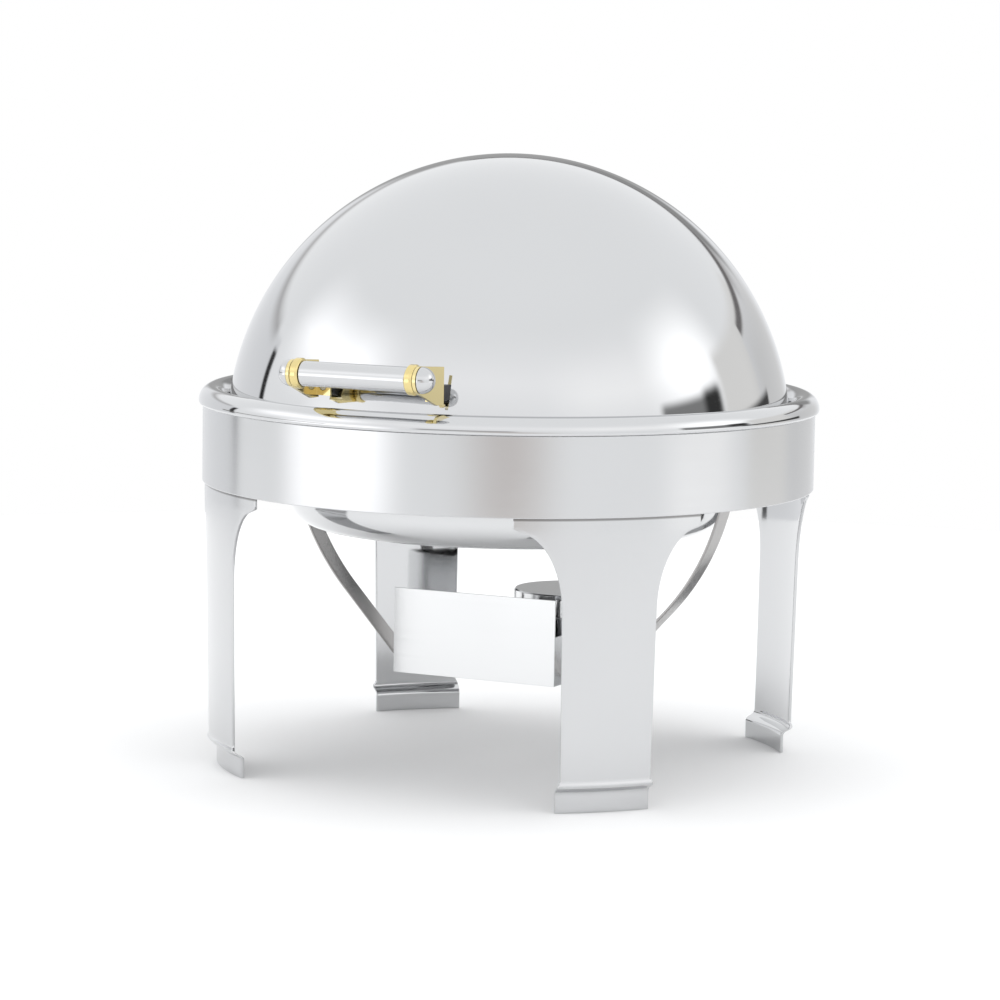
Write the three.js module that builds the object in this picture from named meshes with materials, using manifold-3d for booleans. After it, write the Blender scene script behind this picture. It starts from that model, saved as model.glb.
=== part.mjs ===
// Round roll top chafer: a hemispherical lid that rolls back about two side pivots, on a ring frame
// with four bent-plate legs, over a water pan, a food pan and a fuel holder hung from a hoop.
// Millimetres, +Z up, front (the handle side) towards -Y, pivot axis along X.
// Every piece is drawn about the pivot centre, which the outer group lifts off the table.

import * as THREE from 'three';
import { mergeVertices } from 'three/addons/utils/BufferGeometryUtils.js';
import Module from 'manifold-3d';

// ---- driving dimensions ----
const GAP = 0.3; // left between pieces that touch
const PIVOT_HEIGHT = 240.7; // pivot axis above the table
const BAND_R = 225; // outside of the frame band
const BAND_TOP = 22.6;
const BAND_BOTTOM = -34.1;
const SHEET = 1.5; // band wall
const LID_R = 207.3; // outside of the lid
const LID_WALL = 1.1;
const LID_TRAVEL = 148; // degrees from closed to fully rolled back
const BEAD_IN = 208.5;
const BEAD_OUT = 228;
const BEAD_TOP = 35.5;
const LEG_WALL = 2.5;
const HANDLE_Y = -238.5; // centre of the grip, ahead of the pivot axis
const HANDLE_Z = 60.5;
const HANDLE_R = 8.75;
const COLLAR_R = 10.7;
const HOOP_R = 179; // middle of the hoop strap
const HOOP_WIDTH = 19;
const HOOP_WALL = 2;
const TRAY_FLOOR = -174.7;
const TRAY_HALF_WIDTH = 65.5;
const TRAY_FRONT = -53;
const TRAY_BACK = 50;
const STUD_R = 4;
const CENTRE_Y = (-HANDLE_Y + COLLAR_R - BEAD_OUT) / 2; // puts the origin under the middle of the box

// ---- finishes ----
const finish = (color, roughness, metalness = 1) => {
  return new THREE.MeshStandardMaterial({ color, roughness, metalness });
};
const polished = () => finish(0xdfe1e4, 0.08);
const satin = () => finish(0xd5d7da, 0.35);
const brass = () => finish(0xd9b24a, 0.15);
const zinc = () => finish(0xb9bcc0, 0.4);
const nylon = () => finish(0xe8e6de, 0.5, 0);
const blackSpacer = () => finish(0x1c1c1e, 0.6, 0);

// ---- solids: joins and cuts ----
const wasm = await Module();
wasm.setup();

function solidOf(geometry) {
  const bare = geometry.clone();
  bare.deleteAttribute('normal');
  bare.deleteAttribute('uv');
  const merged = mergeVertices(bare, 1e-4);
  const corners = merged.index.array;
  const kept = [];
  for (let i = 0; i < corners.length; i += 3) {
    const [a, b, c] = corners.slice(i, i + 3);
    if (a !== b && b !== c && c !== a) kept.push(a, b, c);
  }
  const vertProperties = Float32Array.from(merged.attributes.position.array);
  return new wasm.Manifold(new wasm.Mesh({ numProp: 3, vertProperties, triVerts: Uint32Array.from(kept) }));
}

function geometryOf(solid) {
  const mesh = solid.getMesh();
  const geometry = new THREE.BufferGeometry();
  geometry.setAttribute('position', new THREE.BufferAttribute(mesh.vertProperties, 3));
  geometry.setIndex(new THREE.BufferAttribute(mesh.triVerts, 1));
  return geometry;
}

const join = (first, ...others) => {
  return geometryOf(others.reduce((whole, next) => whole.add(solidOf(next)), solidOf(first)));
};
const cut = (first, ...tools) => {
  return geometryOf(tools.reduce((whole, tool) => whole.subtract(solidOf(tool)), solidOf(first)));
};

// ---- solids: basic shapes ----
const radians = THREE.MathUtils.degToRad;

function box(x0, x1, y0, y1, z0, z1) {
  const geometry = new THREE.BoxGeometry(x1 - x0, y1 - y0, z1 - z0);
  return geometry.translate((x0 + x1) / 2, (y0 + y1) / 2, (z0 + z1) / 2);
}

// A turned shape from [radius, height] points: a loop round a section, or a line from axis to axis.
function turned(points, sides) {
  const profile = points.map(([radius, height]) => new THREE.Vector2(radius, height));
  if (THREE.ShapeUtils.area(profile) < 0) profile.reverse();
  if (profile[0].x > 0) profile.push(profile[0].clone());
  return new THREE.LatheGeometry(profile, sides);
}
const turnedZ = (points, sides = 48) => turned(points, sides).rotateX(Math.PI / 2);
const turnedX = (points, sides = 16) => turned(points, sides).rotateZ(-Math.PI / 2);

function rodX(radius, x0, x1, y = 0, z = 0, sides = 16) {
  const rod = new THREE.CylinderGeometry(radius, radius, x1 - x0, sides).rotateZ(Math.PI / 2);
  return rod.translate((x0 + x1) / 2, y, z);
}
const rodY = (radius, y0, y1, x, z, sides = 12) => {
  return new THREE.CylinderGeometry(radius, radius, y1 - y0, sides).translate(x, (y0 + y1) / 2, z);
};
const rodZ = (radius, z0, z1, x, y, sides = 12) => {
  return rodY(radius, z0, z1, 0, 0, sides).rotateX(Math.PI / 2).translate(x, y, 0);
};
const ringX = (inner, outer, x0, x1, sides = 16) => {
  return turnedX([[inner, x0], [outer, x0], [outer, x1], [inner, x1]], sides);
};

// A flat outline in Y and Z, given a thickness along X.
const sideways = new THREE.Matrix4().makeBasis(
  new THREE.Vector3(0, 1, 0),
  new THREE.Vector3(0, 0, 1),
  new THREE.Vector3(1, 0, 0),
);
function plateX(shape, x0, x1, curveSegments = 8) {
  const plate = new THREE.ExtrudeGeometry(shape, { depth: x1 - x0, bevelEnabled: false, curveSegments });
  return plate.applyMatrix4(sideways).translate(x0, 0, 0);
}

// Right-hand pieces are drawn at +X; the left-hand one is the mirror image.
function sided(geometry, side) {
  if (side > 0) return geometry;
  const mirror = geometry.index ? geometry.toNonIndexed() : geometry.clone();
  mirror.scale(-1, 1, 1);
  const p = mirror.attributes.position;
  for (let i = 0; i < p.count; i += 3) {
    const [x, y, z] = [p.getX(i + 1), p.getY(i + 1), p.getZ(i + 1)];
    p.setXYZ(i + 1, p.getX(i + 2), p.getY(i + 2), p.getZ(i + 2));
    p.setXYZ(i + 2, x, y, z);
  }
  return mirror;
}

const arc = (count, start, end, at) => {
  return Array.from({ length: count + 1 }, (_, i) => at(start + ((end - start) * i) / count));
};
const onAxis = ([radius, height]) => [radius < 1e-6 ? 0 : radius, height];
const circle = (radius, cx = 0, cy = 0) => (a) => [cx + radius * Math.cos(a), cy + radius * Math.sin(a)];

const model = new THREE.Group();
model.position.set(0, CENTRE_Y, PIVOT_HEIGHT);
function add(name, geometry, material) {
  const mesh = new THREE.Mesh(geometry, material);
  mesh.name = name;
  model.add(mesh);
  return mesh;
}
const SIDES = [['left', -1], ['right', 1]];

// ---- ring frame: plain band with a hollow half-round bead rolled on top ----
add('frame_band', turnedZ([
  [BAND_R - SHEET, BAND_BOTTOM],
  [BAND_R, BAND_BOTTOM],
  [BAND_R, BAND_TOP],
  [BAND_R - SHEET, BAND_TOP],
], 72), satin());

function beadSection() {
  const wall = 1.6;
  const middle = (BEAD_IN + BEAD_OUT) / 2;
  const spring = BAND_TOP + GAP + wall;
  const half = (BEAD_OUT - BEAD_IN) / 2;
  const rise = BEAD_TOP - spring;
  const over = (a) => [middle + half * Math.cos(a), spring + rise * Math.sin(a)];
  const under = (a) => [middle + (half - wall) * Math.cos(a), spring + (rise - wall) * Math.sin(a)];
  const foot = BAND_R - SHEET - 1;
  return [
    [foot, BAND_TOP + GAP],
    [BEAD_OUT - 0.4, BAND_TOP + GAP],
    ...arc(7, 0, Math.PI, over),
    ...arc(6, Math.PI, 0, under),
    [foot, spring],
  ];
}
add('rim_bead', turnedZ(beadSection(), 52), polished());

// ---- legs: sheet rolled to the band's curve, flared at the top, joggled in at the foot ----
function curvedPlate(stations, columns, wall) {
  const corners = [];
  for (const { z, r, halfAngle } of stations) {
    for (const radius of [r, r - wall]) {
      for (let i = 0; i <= columns; i += 1) {
        const a = halfAngle * ((2 * i) / columns - 1);
        corners.push(radius * Math.cos(a), radius * Math.sin(a), z);
      }
    }
  }
  const row = columns + 1;
  const at = (k, face, i) => (2 * k + face) * row + i;
  const faces = [];
  const quad = (a, b, c, d) => faces.push(a, b, c, a, c, d);
  const last = stations.length - 1;
  for (let k = 0; k < last; k += 1) {
    for (let i = 0; i < columns; i += 1) {
      quad(at(k, 0, i), at(k, 0, i + 1), at(k + 1, 0, i + 1), at(k + 1, 0, i));
      quad(at(k, 1, i + 1), at(k, 1, i), at(k + 1, 1, i), at(k + 1, 1, i + 1));
    }
    quad(at(k, 1, 0), at(k, 0, 0), at(k + 1, 0, 0), at(k + 1, 1, 0));
    quad(at(k, 0, columns), at(k, 1, columns), at(k + 1, 1, columns), at(k + 1, 0, columns));
  }
  for (let i = 0; i < columns; i += 1) {
    quad(at(0, 1, i), at(0, 1, i + 1), at(0, 0, i + 1), at(0, 0, i));
    quad(at(last, 0, i), at(last, 0, i + 1), at(last, 1, i + 1), at(last, 1, i));
  }
  const geometry = new THREE.BufferGeometry();
  geometry.setAttribute('position', new THREE.BufferAttribute(new Float32Array(corners), 3));
  geometry.setIndex(faces);
  return geometry;
}

const LEG_R = BAND_R - SHEET - GAP; // outside of the leg where it lies in the band
const FOOT_R = LEG_R - 9.4;
const LEG_TOP = 16;
const FLARE_TIP = BAND_BOTTOM - 9; // the flare's short upright edge ends here
const FLARE_HEIGHT = 56;
const FLARE_HALF = radians(18);
const SHAFT_HALF = radians(9);
function legStations() {
  const shaftTop = FLARE_TIP - FLARE_HEIGHT;
  const fillet = arc(7, 0, Math.PI / 2, (a) => ({
    z: shaftTop + FLARE_HEIGHT * Math.sin(a),
    r: LEG_R - (1 - Math.sin(a)) * 0.9,
    halfAngle: FLARE_HALF - (FLARE_HALF - SHAFT_HALF) * Math.cos(a),
  }));
  return [
    { z: -PIVOT_HEIGHT, r: FOOT_R, halfAngle: radians(9.35) },
    { z: -227, r: FOOT_R, halfAngle: radians(9.35) },
    { z: -225, r: FOOT_R + 1.2, halfAngle: radians(9.35) },
    { z: -222.6, r: LEG_R - 3, halfAngle: radians(9.3) },
    { z: -220.6, r: LEG_R - 2.1, halfAngle: radians(9.2) },
    { z: -218, r: LEG_R - 3, halfAngle: radians(8.7) },
    { z: -160, r: LEG_R - 1.9, halfAngle: radians(8.8) },
    ...fillet,
    { z: LEG_TOP, r: LEG_R, halfAngle: FLARE_HALF },
  ];
}

const LEGS = [
  ['front_left', -135],
  ['front_right', -45],
  ['rear_right', 45],
  ['rear_left', 135],
];
const BOLT_Z = -6;
for (const [corner, azimuth] of LEGS) {
  const bolts = [['a', azimuth - 10], ['b', azimuth + 10]];
  const plate = curvedPlate(legStations(), 8, LEG_WALL).rotateZ(radians(azimuth));
  const holes = bolts.map(([, at]) => rodX(3.3, 215, 230, 0, BOLT_Z, 10).rotateZ(radians(at)));
  add(`leg_${corner}`, cut(plate, ...holes), satin());
  for (const [letter, at] of bolts) {
    const face = LEG_R - LEG_WALL;
    const bolt = join(
      rodX(5.6, face - 4, face - GAP, 0, BOLT_Z, 6),
      rodX(3, face - 2, LEG_R, 0, BOLT_Z, 8),
    );
    add(`leg_bolt_${corner}_${letter}`, bolt.rotateZ(radians(at)), zinc());
  }
}

// ---- side pivots, from the band inwards: block, stud, washer, lid ear, lug, nut ----
const BLOCK_IN = 212;
const BLOCK_OUT = 222.3;
const LUG_OUT = 200;
const LUG_IN = 197;
const STOP_R = 16; // stop pin to pivot axis
const STOP_PIN_R = 2;
const STOP_FROM_LEVEL = 16; // degrees from level to the stop pin, below the front
const stopY = -STOP_R * Math.cos(radians(STOP_FROM_LEVEL));
const stopZ = -STOP_R * Math.sin(radians(STOP_FROM_LEVEL));

const RING_Z = 11.5; // underside of the cradle ring
const pivotBlock = cut(
  box(BLOCK_IN, BLOCK_OUT, -18, 18, -14, 14),
  rodX(STUD_R + GAP, BLOCK_IN - 1, BLOCK_OUT + 1),
  rodX(7.2, 217.9, BLOCK_OUT + 1),
  rodX(STOP_PIN_R + GAP, BLOCK_IN - 1, 217, stopY, stopZ, 12),
);
const pivotStud = join(rodX(6.7, 218.2, 222), rodX(STUD_R, 191, 219));
const pivotNut = cut(rodX(7.2, 192.4, LUG_IN - GAP, 0, 0, 6), rodX(STUD_R + GAP, 190, 200));
const pivotWasher = ringX(STUD_R + GAP, 9.5, 205.8, BLOCK_IN - GAP);
const stopPin = rodX(STOP_PIN_R, 201, 216.6, stopY, stopZ, 12);
const pivotLug = cut(
  join(
    box(LUG_IN, LUG_OUT, -14, 14, -11, RING_Z - GAP),
    box(184, LUG_OUT, -14, 14, RING_Z - GAP - 2.5, RING_Z - GAP),
  ),
  rodX(STUD_R + GAP, LUG_IN - 1, LUG_OUT + 1),
);
for (const [hand, side] of SIDES) {
  add(`pivot_block_${hand}`, sided(pivotBlock, side), zinc());
  add(`pivot_stud_${hand}`, sided(pivotStud, side), zinc());
  add(`pivot_nut_${hand}`, sided(pivotNut, side), zinc());
  add(`pivot_washer_${hand}`, sided(pivotWasher, side), nylon());
  add(`lid_stop_pin_${hand}`, sided(stopPin, side), zinc());
  add(`pivot_lug_${hand}`, sided(pivotLug, side), satin());
}

// ---- lid: polished hemisphere with an ear plate riveted inside at each pivot ----
const RIVET_R = 2;
const RIVET_OUT = 16; // rivets to pivot axis
const RIVETS = [['a', -35], ['b', 35]].map(([letter, lean]) => ({
  letter,
  y: RIVET_OUT * Math.sin(radians(lean)),
  z: RIVET_OUT * Math.cos(radians(lean)),
}));
const SCREW_X = 43;
const SCREW_Z = 49;
const MOUNT_Y = -204.8; // dome side of the handle brackets

const quarter = Math.PI / 2;
const shell = turnedZ([
  ...arc(12, quarter, 0, circle(LID_R - LID_WALL)),
  ...arc(12, 0, quarter, circle(LID_R)),
].map(onAxis), 48);
const lidHoles = SIDES.flatMap(([, side]) => [
  sided(rodX(11, 195, 215), side),
  ...RIVETS.map(({ y, z }) => sided(rodX(RIVET_R + GAP, 195, 215, y, z, 8), side)),
  rodY(2.8, -204, -185, side * SCREW_X, SCREW_Z, 8),
]);
add('lid_dome', cut(shell, ...lidHoles), polished());

function stopSlot() {
  const half = STOP_PIN_R + 0.6;
  const start = Math.PI + radians(STOP_FROM_LEVEL);
  const end = start + radians(LID_TRAVEL);
  const slot = new THREE.Shape();
  slot.absarc(0, 0, STOP_R + half, start, end, false);
  slot.absarc(STOP_R * Math.cos(end), STOP_R * Math.sin(end), half, end, end + Math.PI, false);
  slot.absarc(0, 0, STOP_R - half, end, start, true);
  slot.absarc(STOP_R * Math.cos(start), STOP_R * Math.sin(start), half, start + Math.PI, start, false);
  return plateX(slot, 195, 212, 6);
}
const earOn = (sphere) => (r) => [r, Math.sqrt(sphere * sphere - r * r)];
const ear = cut(
  turnedX([...arc(3, 5.8, 24, earOn(205.1)), ...arc(3, 24, 5.8, earOn(202.8))], 24),
  stopSlot(),
  ...RIVETS.map(({ y, z }) => rodX(RIVET_R + GAP, 195, 215, y, z, 8)),
);
const rivet = ({ y, z }) => join(
  rodX(3.4, 200.5, 201.6, y, z, 10),
  rodX(RIVET_R, 201, 208, y, z, 8),
  rodX(3.4, 207.1, 208.5, y, z, 10),
);
const bush = join(ringX(STUD_R + GAP, 5.5, 202.4, 205.4), ringX(STUD_R + GAP, 9, LUG_OUT + GAP, 202.5));
for (const [hand, side] of SIDES) {
  add(`lid_ear_${hand}`, sided(ear, side), satin());
  add(`lid_bush_${hand}`, sided(bush, side), nylon());
  for (const place of RIVETS) {
    add(`lid_rivet_${hand}_${place.letter}`, sided(rivet(place), side), zinc());
  }
}

// ---- handle: steel grip tube on a tie rod, brass collars and brackets, domed cap nuts ----
const GRIP_HALF = 40.7;
const COLLAR_END = 47.2;
const BRACKET_WALL = 2.5;
const CAP_R = 9.3;
const ROD_R = 3.5;
const bracketIn = COLLAR_END + GAP;
const bracketOut = bracketIn + BRACKET_WALL;
const capIn = bracketOut + GAP;
const onGrip = (geometry) => geometry.translate(0, HANDLE_Y, HANDLE_Z);

add('handle_grip', onGrip(ringX(6.6, HANDLE_R, -GRIP_HALF, GRIP_HALF, 24)), polished());
add('handle_rod', onGrip(rodX(ROD_R, -capIn - 5, capIn + 5, 0, 0, 12)), zinc());

function bracketShape() {
  const top = HANDLE_Z + 7;
  const bottom = 41.5;
  const shape = new THREE.Shape();
  shape.moveTo(MOUNT_Y, bottom);
  shape.lineTo(MOUNT_Y, top);
  shape.lineTo(HANDLE_Y + 3, top + 2.3);
  shape.absarc(HANDLE_Y, HANDLE_Z, 9.6, radians(72), radians(250), false);
  shape.lineTo(MOUNT_Y - 10, bottom);
  return shape;
}
const bracket = cut(
  join(
    plateX(bracketShape(), bracketIn, bracketOut, 12),
    box(37, bracketOut, MOUNT_Y - BRACKET_WALL, MOUNT_Y, 43, 56),
  ),
  rodX(ROD_R + GAP, 40, 60, HANDLE_Y, HANDLE_Z, 12),
  rodY(2.8, MOUNT_Y - 9, MOUNT_Y + 1, SCREW_X, SCREW_Z, 8),
);
const dome = new THREE.SphereGeometry(LID_R + GAP, 160, 120);
const spacer = cut(
  box(40.2, bracketOut, MOUNT_Y + GAP, -186, 44, 54.5),
  rodY(2.8, MOUNT_Y - 1, -180, SCREW_X, SCREW_Z, 8),
  dome,
);
const screw = join(
  rodY(2.5, MOUNT_Y - BRACKET_WALL, -192, SCREW_X, SCREW_Z, 8),
  rodY(4.2, -192.8, -190.4, SCREW_X, SCREW_Z, 12),
);
const collar = onGrip(turnedX([
  [ROD_R + GAP, GRIP_HALF + GAP],
  [COLLAR_R - 0.8, GRIP_HALF + GAP],
  [COLLAR_R, GRIP_HALF + GAP + 0.8],
  [COLLAR_R, COLLAR_END - 0.8],
  [COLLAR_R - 0.8, COLLAR_END],
  [ROD_R + GAP, COLLAR_END],
], 24));
const capBore = capIn + 5 + GAP;
const capNut = onGrip(turnedX([
  [0, capBore],
  [ROD_R + GAP, capBore],
  [ROD_R + GAP, capIn],
  ...arc(5, 0, quarter, circle(CAP_R, 0, capIn)).map(onAxis),
], 16));
for (const [hand, side] of SIDES) {
  add(`handle_collar_${hand}`, sided(collar, side), brass());
  add(`handle_bracket_${hand}`, sided(bracket, side), brass());
  add(`handle_cap_nut_${hand}`, sided(capNut, side), polished());
  add(`handle_spacer_${hand}`, sided(spacer, side), blackSpacer());
  add(`handle_screw_${hand}`, sided(screw, side), zinc());
}

// ---- cradle ring and the two pans that stand on it ----
add('cradle_ring', turnedZ([
  [174.5, RING_Z],
  [196, RING_Z],
  [196, RING_Z + 2],
  [174.5, RING_Z + 2],
]), satin());

// A pressed pan: flat rim, sloping wall, rounded corner, flat floor.
function panSection({ rimR, rimZ, wallTop, wallFoot, footZ, corner, wall }) {
  const centre = wallFoot - corner;
  return [
    [0, footZ - corner],
    ...arc(4, -quarter, 0, circle(corner, centre, footZ)),
    [wallTop, rimZ],
    [rimR, rimZ],
    [rimR, rimZ + wall],
    [wallTop - wall, rimZ + wall],
    ...arc(4, 0, -quarter, circle(corner - wall, centre, footZ)),
    [0, footZ - corner + wall],
  ];
}
add('water_pan', turnedZ(panSection({
  rimR: 195,
  rimZ: RING_Z + 2 + GAP,
  wallTop: 172.5,
  wallFoot: 162,
  footZ: -44,
  corner: 22,
  wall: 1.2,
})), polished());
add('food_pan', turnedZ(panSection({
  rimR: 189,
  rimZ: RING_Z + 2 + GAP + 1.2 + GAP,
  wallTop: 165,
  wallFoot: 156,
  footZ: -34,
  corner: 18,
  wall: 1.2,
})), polished());

// ---- hoop strap: bent flat bar from the ring, down round the pan and under the fuel tray ----
function hoopLine() {
  const bend = radians(-42.8); // the arc ends and the straight run begins
  const slope = [-Math.cos(bend + quarter), -Math.sin(bend + quarter)];
  const upper = arc(14, Math.asin((RING_Z - GAP) / HOOP_R), bend, circle(HOOP_R));
  const [x, z] = upper[upper.length - 1];
  const floor = TRAY_FLOOR - GAP - HOOP_WALL / 2;
  const run = (z - floor) / -slope[1] - 7;
  const foot = [x + slope[0] * run, z + slope[1] * run];
  const half = [...upper, foot, [foot[0] - 7 + slope[0] * 3.2, floor + 0.9], [foot[0] - 14, floor]];
  return [...half, ...half.map(([px, pz]) => [-px, pz]).reverse()];
}
function strapShape(line, wall) {
  const sideOf = (sign) => line.map(([x, z], i) => {
    const [ax, az] = line[Math.max(i - 1, 0)];
    const [bx, bz] = line[Math.min(i + 1, line.length - 1)];
    const length = Math.hypot(bx - ax, bz - az);
    const offset = (sign * wall) / 2 / length;
    return new THREE.Vector2(x - (bz - az) * offset, z + (bx - ax) * offset);
  });
  return new THREE.Shape([...sideOf(1), ...sideOf(-1).reverse()]);
}
const TRAY_BOLT_X = 54;
const strap = new THREE.ExtrudeGeometry(strapShape(hoopLine(), HOOP_WALL), {
  depth: HOOP_WIDTH,
  bevelEnabled: false,
}).translate(0, 0, -HOOP_WIDTH / 2).rotateX(Math.PI / 2);
const trayHole = (side) => rodZ(2.8, TRAY_FLOOR - 6, TRAY_FLOOR + 4, side * TRAY_BOLT_X, 0, 10);
add('hoop_strap', cut(strap, trayHole(-1), trayHole(1)), satin());

// ---- fuel holder: folded tray with a tall front panel, round cup, swing-over snuffer ----
const TRAY_WALL = 1.2;
const PANEL_TOP = -111.6;
const SIDE_TOP = -138.5;
const tray = join(
  box(-TRAY_HALF_WIDTH, TRAY_HALF_WIDTH, TRAY_FRONT, TRAY_BACK, TRAY_FLOOR, TRAY_FLOOR + TRAY_WALL),
  box(-TRAY_HALF_WIDTH, TRAY_HALF_WIDTH, TRAY_FRONT, TRAY_FRONT + TRAY_WALL, TRAY_FLOOR, PANEL_TOP),
  box(-TRAY_HALF_WIDTH, TRAY_HALF_WIDTH, TRAY_BACK - TRAY_WALL, TRAY_BACK, TRAY_FLOOR, SIDE_TOP),
  box(-TRAY_HALF_WIDTH, -TRAY_HALF_WIDTH + TRAY_WALL, TRAY_FRONT, TRAY_BACK, TRAY_FLOOR, SIDE_TOP),
  box(TRAY_HALF_WIDTH - TRAY_WALL, TRAY_HALF_WIDTH, TRAY_FRONT, TRAY_BACK, TRAY_FLOOR, SIDE_TOP),
);
const POST_X = 57;
const POST_Y = -24;
const POST_R = 3;
const cupFloor = TRAY_FLOOR + TRAY_WALL + GAP;
const CUP_TOP = -129;
add('fuel_tray', cut(
  tray,
  trayHole(-1),
  trayHole(1),
  rodZ(POST_R + GAP, TRAY_FLOOR - 1, TRAY_FLOOR + 3, POST_X, POST_Y),
), polished());
add('fuel_cup', turnedZ([
  [0, cupFloor],
  [41.5, cupFloor],
  [43, cupFloor + 1.5],
  [43, CUP_TOP - 1.2],
  [45, CUP_TOP - 1.2],
  [45, CUP_TOP],
  [41.8, CUP_TOP],
  [41.8, cupFloor + 2],
  [41, cupFloor + 1.2],
  [0, cupFloor + 1.2],
], 32), polished());

for (const [hand, side] of SIDES) {
  const top = TRAY_FLOOR + TRAY_WALL + GAP;
  const under = TRAY_FLOOR - GAP - HOOP_WALL - GAP;
  const bolt = join(
    rodZ(4.6, top, top + 2.6, side * TRAY_BOLT_X, 0),
    rodZ(2.4, under - 4.4, top + 1, side * TRAY_BOLT_X, 0, 8),
  );
  const nut = cut(
    rodZ(4.6, under - 3.4, under, side * TRAY_BOLT_X, 0, 6),
    rodZ(2.4 + GAP, under - 5, under + 1, side * TRAY_BOLT_X, 0, 8),
  );
  add(`tray_bolt_${hand}`, bolt, zinc());
  add(`tray_nut_${hand}`, nut, zinc());
}

const SNUFFER_TOP = -115;
const SNUFFER_FOOT = -127.5;
const SNUFFER_R = 42;
const SNUFFER_OPEN = -48; // degrees that the cap stands swung off the cup
add('snuffer_post', join(
  rodZ(POST_R, TRAY_FLOOR, SNUFFER_TOP + 3, POST_X, POST_Y),
  rodZ(5, SNUFFER_FOOT - GAP - 2, SNUFFER_FOOT - GAP, POST_X, POST_Y),
  rodZ(5, SNUFFER_TOP + GAP, SNUFFER_TOP + 2.5, POST_X, POST_Y),
  rodZ(5, TRAY_FLOOR + TRAY_WALL + GAP, TRAY_FLOOR + TRAY_WALL + 2.5, POST_X, POST_Y),
), zinc());

function snuffer() {
  const wall = 1.2;
  const cap = turnedZ([
    [0, SNUFFER_TOP - wall],
    [SNUFFER_R - wall, SNUFFER_TOP - wall],
    [SNUFFER_R - wall, SNUFFER_FOOT],
    [SNUFFER_R, SNUFFER_FOOT],
    [SNUFFER_R, SNUFFER_TOP - 1],
    [SNUFFER_R - 1, SNUFFER_TOP],
    [0, SNUFFER_TOP],
  ], 32);
  const reach = Math.hypot(POST_X, POST_Y);
  const arm = box(SNUFFER_R - 2, reach, -4, 4, SNUFFER_TOP - 3.2, SNUFFER_TOP - 1.2);
  const boss = rodZ(5, SNUFFER_FOOT, SNUFFER_TOP, reach, 0);
  const turn = Math.atan2(POST_Y, POST_X);
  const tab = box(SNUFFER_R - 0.6, SNUFFER_R + 9, -6, 6, SNUFFER_FOOT + 1, SNUFFER_FOOT + 2.5);
  const whole = join(cap, arm.rotateZ(turn), boss.rotateZ(turn), tab.rotateZ(radians(-54)));
  const bored = cut(whole, rodZ(POST_R + GAP, SNUFFER_FOOT - 1, SNUFFER_TOP + 1, POST_X, POST_Y));
  return bored.translate(-POST_X, -POST_Y, 0).rotateZ(radians(SNUFFER_OPEN)).translate(POST_X, POST_Y, 0);
}
add('snuffer_lid', snuffer(), polished());

export default model;
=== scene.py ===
# Round roll top chafer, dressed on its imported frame. Sizes below are in millimetres about the centre
# of the lid's pivot axis, unless a line says metres; +Z is up and the handle side faces -Y.
import math
import bmesh
import bpy
from mathutils import Matrix, Vector


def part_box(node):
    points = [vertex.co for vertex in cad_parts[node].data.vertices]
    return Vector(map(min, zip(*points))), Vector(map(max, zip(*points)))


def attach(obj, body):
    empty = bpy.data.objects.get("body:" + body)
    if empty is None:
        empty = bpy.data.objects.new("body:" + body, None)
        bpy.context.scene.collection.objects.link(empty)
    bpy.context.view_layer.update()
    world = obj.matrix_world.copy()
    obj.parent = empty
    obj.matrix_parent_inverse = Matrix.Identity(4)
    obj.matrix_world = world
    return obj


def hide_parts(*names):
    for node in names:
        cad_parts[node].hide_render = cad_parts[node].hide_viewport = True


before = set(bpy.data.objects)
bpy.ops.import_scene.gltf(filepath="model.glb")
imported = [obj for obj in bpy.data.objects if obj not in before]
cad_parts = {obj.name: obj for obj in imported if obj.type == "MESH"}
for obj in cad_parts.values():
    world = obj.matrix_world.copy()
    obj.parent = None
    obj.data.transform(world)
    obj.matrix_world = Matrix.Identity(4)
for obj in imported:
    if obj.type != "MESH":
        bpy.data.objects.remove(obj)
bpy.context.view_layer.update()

# ---- Camera ----
# A long lens a little above the rim, turned to the left-hand side of the handle.
# Distances here are metres from the middle of the feet.
view_azimuth = math.radians(26.06)
view_elevation = math.radians(6.81)
view_roll = math.radians(0.94)
view_distance = 2.8749
view_target = Vector((-0.00497, 0.00817, 0.19262))

view_right = Vector((math.cos(view_azimuth), math.sin(view_azimuth), 0))
view_away = Vector((-math.sin(view_azimuth), math.cos(view_azimuth), 0))
view_back = math.sin(view_elevation) * Vector((0, 0, 1)) - math.cos(view_elevation) * view_away
view_up = view_back.cross(view_right)
rolled_right = math.cos(view_roll) * view_right + math.sin(view_roll) * view_up
rolled_up = math.cos(view_roll) * view_up - math.sin(view_roll) * view_right
camera_lens = bpy.data.cameras.new("camera")
camera_lens.lens = 140.07
camera_lens.sensor_width = 36
camera_lens.clip_end = 50
camera = bpy.data.objects.new("camera", camera_lens)
camera.matrix_world = Matrix((
    (rolled_right.x, rolled_up.x, view_back.x, view_target.x + view_distance * view_back.x),
    (rolled_right.y, rolled_up.y, view_back.y, view_target.y + view_distance * view_back.y),
    (rolled_right.z, rolled_up.z, view_back.z, view_target.z + view_distance * view_back.z),
    (0, 0, 0, 1),
))
bpy.context.scene.collection.objects.link(camera)
bpy.context.scene.camera = camera
bpy.context.scene.view_settings.view_transform = "Standard"

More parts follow.
